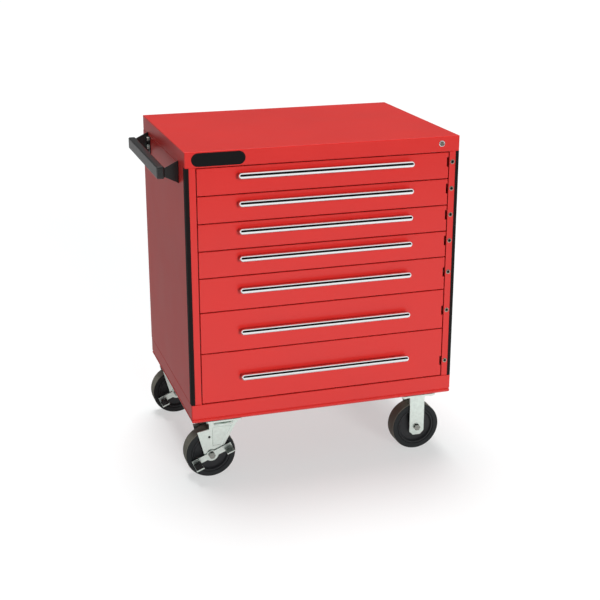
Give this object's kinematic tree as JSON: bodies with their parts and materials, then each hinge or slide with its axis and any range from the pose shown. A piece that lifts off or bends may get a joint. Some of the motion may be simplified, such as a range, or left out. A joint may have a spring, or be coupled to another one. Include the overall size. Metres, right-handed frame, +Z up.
{
  "type": "rolling tool cabinet",
  "caption": "Red steel roller cabinet with a stack of drawers on telescopic slides, bar pulls, a key lock, a side push handle and swivel and rigid casters.",
  "frame": {"origin": "on the floor, under the middle of the whole outline, with the push handle and the pulls counted", "axes": "+Z up, +X to the right and +Y to the back as seen by someone who faces the drawers"},
  "size_m": [0.9294, 0.6675, 1.052],
  "materials": {
    "red_paint": "semi-gloss red enamel",
    "black_paint": "semi-gloss black enamel",
    "black_rubber": "matte black",
    "black_plastic": "satin black",
    "chrome": "polished",
    "zinc": "bright zinc plate",
    "wheel_rubber": "hard black rubber"
  },
  "bodies": {
    "cabinet": {"base_frame": "red_paint", "caster_channels": "red_paint", "left_side_panel": "red_paint", "right_side_panel": "red_paint", "back_panel": "red_paint", "front_posts": "red_paint", "rear_uprights": "red_paint", "top_cover": "red_paint", "corner_bumpers": "black_rubber", "name_plate": "black_plastic", "lock_housing": "chrome", "slide_channels": "zinc", "latch_ferrules": "chrome", "push_handle_brackets": "black_paint", "push_handle_grip": "black_plastic", "push_handle_bolts": "zinc", "swivel_plates": "zinc", "rigid_forks": "zinc", "rigid_axles": "zinc", "caster_bolts": "zinc"},
    "lock_plug": {"lock_plug": "chrome"},
    "lock_bar": {"lock_bar": "zinc"},
    "front_swivel": {"front_swivel_fork": "zinc", "front_swivel_axle": "zinc"},
    "front_brake": {"front_brake_pedal": "zinc"},
    "rear_swivel": {"rear_swivel_fork": "zinc", "rear_swivel_axle": "zinc"},
    "rear_brake": {"rear_brake_pedal": "zinc"},
    "front_left_wheel": {"front_left_wheel": "wheel_rubber"},
    "rear_left_wheel": {"rear_left_wheel": "wheel_rubber"},
    "front_right_wheel": {"front_right_wheel": "wheel_rubber"},
    "rear_right_wheel": {"rear_right_wheel": "wheel_rubber"},
    "drawer_1": {"drawer_1": "red_paint", "drawer_1_pull": "chrome"},
    "slides_1": {"drawer_1_slides": "zinc"},
    "latch_1": {"latch_button_1": "black_plastic"},
    "drawer_2": {"drawer_2": "red_paint", "drawer_2_pull": "chrome"},
    "slides_2": {"drawer_2_slides": "zinc"},
    "latch_2": {"latch_button_2": "black_plastic"},
    "drawer_3": {"drawer_3": "red_paint", "drawer_3_pull": "chrome"},
    "slides_3": {"drawer_3_slides": "zinc"},
    "latch_3": {"latch_button_3": "black_plastic"},
    "drawer_4": {"drawer_4": "red_paint", "drawer_4_pull": "chrome"},
    "slides_4": {"drawer_4_slides": "zinc"},
    "latch_4": {"latch_button_4": "black_plastic"},
    "drawer_5": {"drawer_5": "red_paint", "drawer_5_pull": "chrome"},
    "slides_5": {"drawer_5_slides": "zinc"},
    "latch_5": {"latch_button_5": "black_plastic"},
    "drawer_6": {"drawer_6": "red_paint", "drawer_6_pull": "chrome"},
    "slides_6": {"drawer_6_slides": "zinc"},
    "latch_6": {"latch_button_6": "black_plastic"},
    "drawer_7": {"drawer_7": "red_paint", "drawer_7_pull": "chrome"},
    "slides_7": {"drawer_7_slides": "zinc"},
    "latch_7": {"latch_button_7": "black_plastic"}
  },
  "joints": [
    {"name": "drawer_1_slide", "type": "slide", "parent": "cabinet", "child": "drawer_1", "axis": [0, -1, 0], "range_m": [0, 0.54]},
    {"name": "drawer_1_slides_travel", "type": "slide", "parent": "cabinet", "child": "slides_1", "axis": [0, -1, 0], "range_m": [0, 0.27]},
    {"name": "drawer_2_slide", "type": "slide", "parent": "cabinet", "child": "drawer_2", "axis": [0, -1, 0], "range_m": [0, 0.54]},
    {"name": "drawer_2_slides_travel", "type": "slide", "parent": "cabinet", "child": "slides_2", "axis": [0, -1, 0], "range_m": [0, 0.27]},
    {"name": "drawer_3_slide", "type": "slide", "parent": "cabinet", "child": "drawer_3", "axis": [0, -1, 0], "range_m": [0, 0.54]},
    {"name": "drawer_3_slides_travel", "type": "slide", "parent": "cabinet", "child": "slides_3", "axis": [0, -1, 0], "range_m": [0, 0.27]},
    {"name": "drawer_4_slide", "type": "slide", "parent": "cabinet", "child": "drawer_4", "axis": [0, -1, 0], "range_m": [0, 0.54]},
    {"name": "drawer_4_slides_travel", "type": "slide", "parent": "cabinet", "child": "slides_4", "axis": [0, -1, 0], "range_m": [0, 0.27]},
    {"name": "drawer_5_slide", "type": "slide", "parent": "cabinet", "child": "drawer_5", "axis": [0, -1, 0], "range_m": [0, 0.54]},
    {"name": "drawer_5_slides_travel", "type": "slide", "parent": "cabinet", "child": "slides_5", "axis": [0, -1, 0], "range_m": [0, 0.27]},
    {"name": "drawer_6_slide", "type": "slide", "parent": "cabinet", "child": "drawer_6", "axis": [0, -1, 0], "range_m": [0, 0.54]},
    {"name": "drawer_6_slides_travel", "type": "slide", "parent": "cabinet", "child": "slides_6", "axis": [0, -1, 0], "range_m": [0, 0.27]},
    {"name": "drawer_7_slide", "type": "slide", "parent": "cabinet", "child": "drawer_7", "axis": [0, -1, 0], "range_m": [0, 0.54]},
    {"name": "drawer_7_slides_travel", "type": "slide", "parent": "cabinet", "child": "slides_7", "axis": [0, -1, 0], "range_m": [0, 0.27]},
    {"name": "latch_1_press", "type": "slide", "parent": "cabinet", "child": "latch_1", "axis": [0, 1, 0], "range_m": [0, 0.004], "stiffness_N_per_m": 300},
    {"name": "latch_2_press", "type": "slide", "parent": "cabinet", "child": "latch_2", "axis": [0, 1, 0], "range_m": [0, 0.004], "stiffness_N_per_m": 300},
    {"name": "latch_3_press", "type": "slide", "parent": "cabinet", "child": "latch_3", "axis": [0, 1, 0], "range_m": [0, 0.004], "stiffness_N_per_m": 300},
    {"name": "latch_4_press", "type": "slide", "parent": "cabinet", "child": "latch_4", "axis": [0, 1, 0], "range_m": [0, 0.004], "stiffness_N_per_m": 300},
    {"name": "latch_5_press", "type": "slide", "parent": "cabinet", "child": "latch_5", "axis": [0, 1, 0], "range_m": [0, 0.004], "stiffness_N_per_m": 300},
    {"name": "latch_6_press", "type": "slide", "parent": "cabinet", "child": "latch_6", "axis": [0, 1, 0], "range_m": [0, 0.004], "stiffness_N_per_m": 300},
    {"name": "latch_7_press", "type": "slide", "parent": "cabinet", "child": "latch_7", "axis": [0, 1, 0], "range_m": [0, 0.004], "stiffness_N_per_m": 300},
    {"name": "lock_turn", "type": "hinge", "parent": "cabinet", "child": "lock_plug", "pos_m": [0.40475, -0.30725, 1.03], "axis": [0, 1, 0], "range_deg": [0, 90]},
    {"name": "lock_bar_lift", "type": "slide", "parent": "cabinet", "child": "lock_bar", "axis": [0, 0, 1], "range_m": [0, 0.00848]},
    {"name": "front_caster_swivel", "type": "hinge", "parent": "cabinet", "child": "front_swivel", "pos_m": [-0.29525, -0.25125, 0.2], "axis": [0, 0, 1], "continuous": true},
    {"name": "front_brake_rock", "type": "hinge", "parent": "front_swivel", "child": "front_brake", "pos_m": [-0.33525, -0.25125, 0.08], "axis": [0, 1, 0], "range_deg": [0, 20]},
    {"name": "front_left_wheel_spin", "type": "hinge", "parent": "front_swivel", "child": "front_left_wheel", "pos_m": [-0.33525, -0.25125, 0.08], "axis": [0, 1, 0], "continuous": true},
    {"name": "front_right_wheel_spin", "type": "hinge", "parent": "cabinet", "child": "front_right_wheel", "pos_m": [0.36075, -0.25125, 0.08], "axis": [0, 1, 0], "continuous": true},
    {"name": "rear_caster_swivel", "type": "hinge", "parent": "cabinet", "child": "rear_swivel", "pos_m": [-0.29525, 0.27775, 0.2], "axis": [0, 0, 1], "continuous": true},
    {"name": "rear_brake_rock", "type": "hinge", "parent": "rear_swivel", "child": "rear_brake", "pos_m": [-0.33525, 0.27775, 0.08], "axis": [0, 1, 0], "range_deg": [0, 20]},
    {"name": "rear_left_wheel_spin", "type": "hinge", "parent": "rear_swivel", "child": "rear_left_wheel", "pos_m": [-0.33525, 0.27775, 0.08], "axis": [0, 1, 0], "continuous": true},
    {"name": "rear_right_wheel_spin", "type": "hinge", "parent": "cabinet", "child": "rear_right_wheel", "pos_m": [0.36075, 0.27775, 0.08], "axis": [0, 1, 0], "continuous": true}
  ],
  "couplings": [
    {"joint": "drawer_1_slides_travel", "follows": "drawer_1_slide", "ratio": 0.5},
    {"joint": "drawer_2_slides_travel", "follows": "drawer_2_slide", "ratio": 0.5},
    {"joint": "drawer_3_slides_travel", "follows": "drawer_3_slide", "ratio": 0.5},
    {"joint": "drawer_4_slides_travel", "follows": "drawer_4_slide", "ratio": 0.5},
    {"joint": "drawer_5_slides_travel", "follows": "drawer_5_slide", "ratio": 0.5},
    {"joint": "drawer_6_slides_travel", "follows": "drawer_6_slide", "ratio": 0.5},
    {"joint": "drawer_7_slides_travel", "follows": "drawer_7_slide", "ratio": 0.5},
    {"joint": "lock_turn", "follows": "lock_bar_lift", "rad_per_m": 185.12}
  ]
}
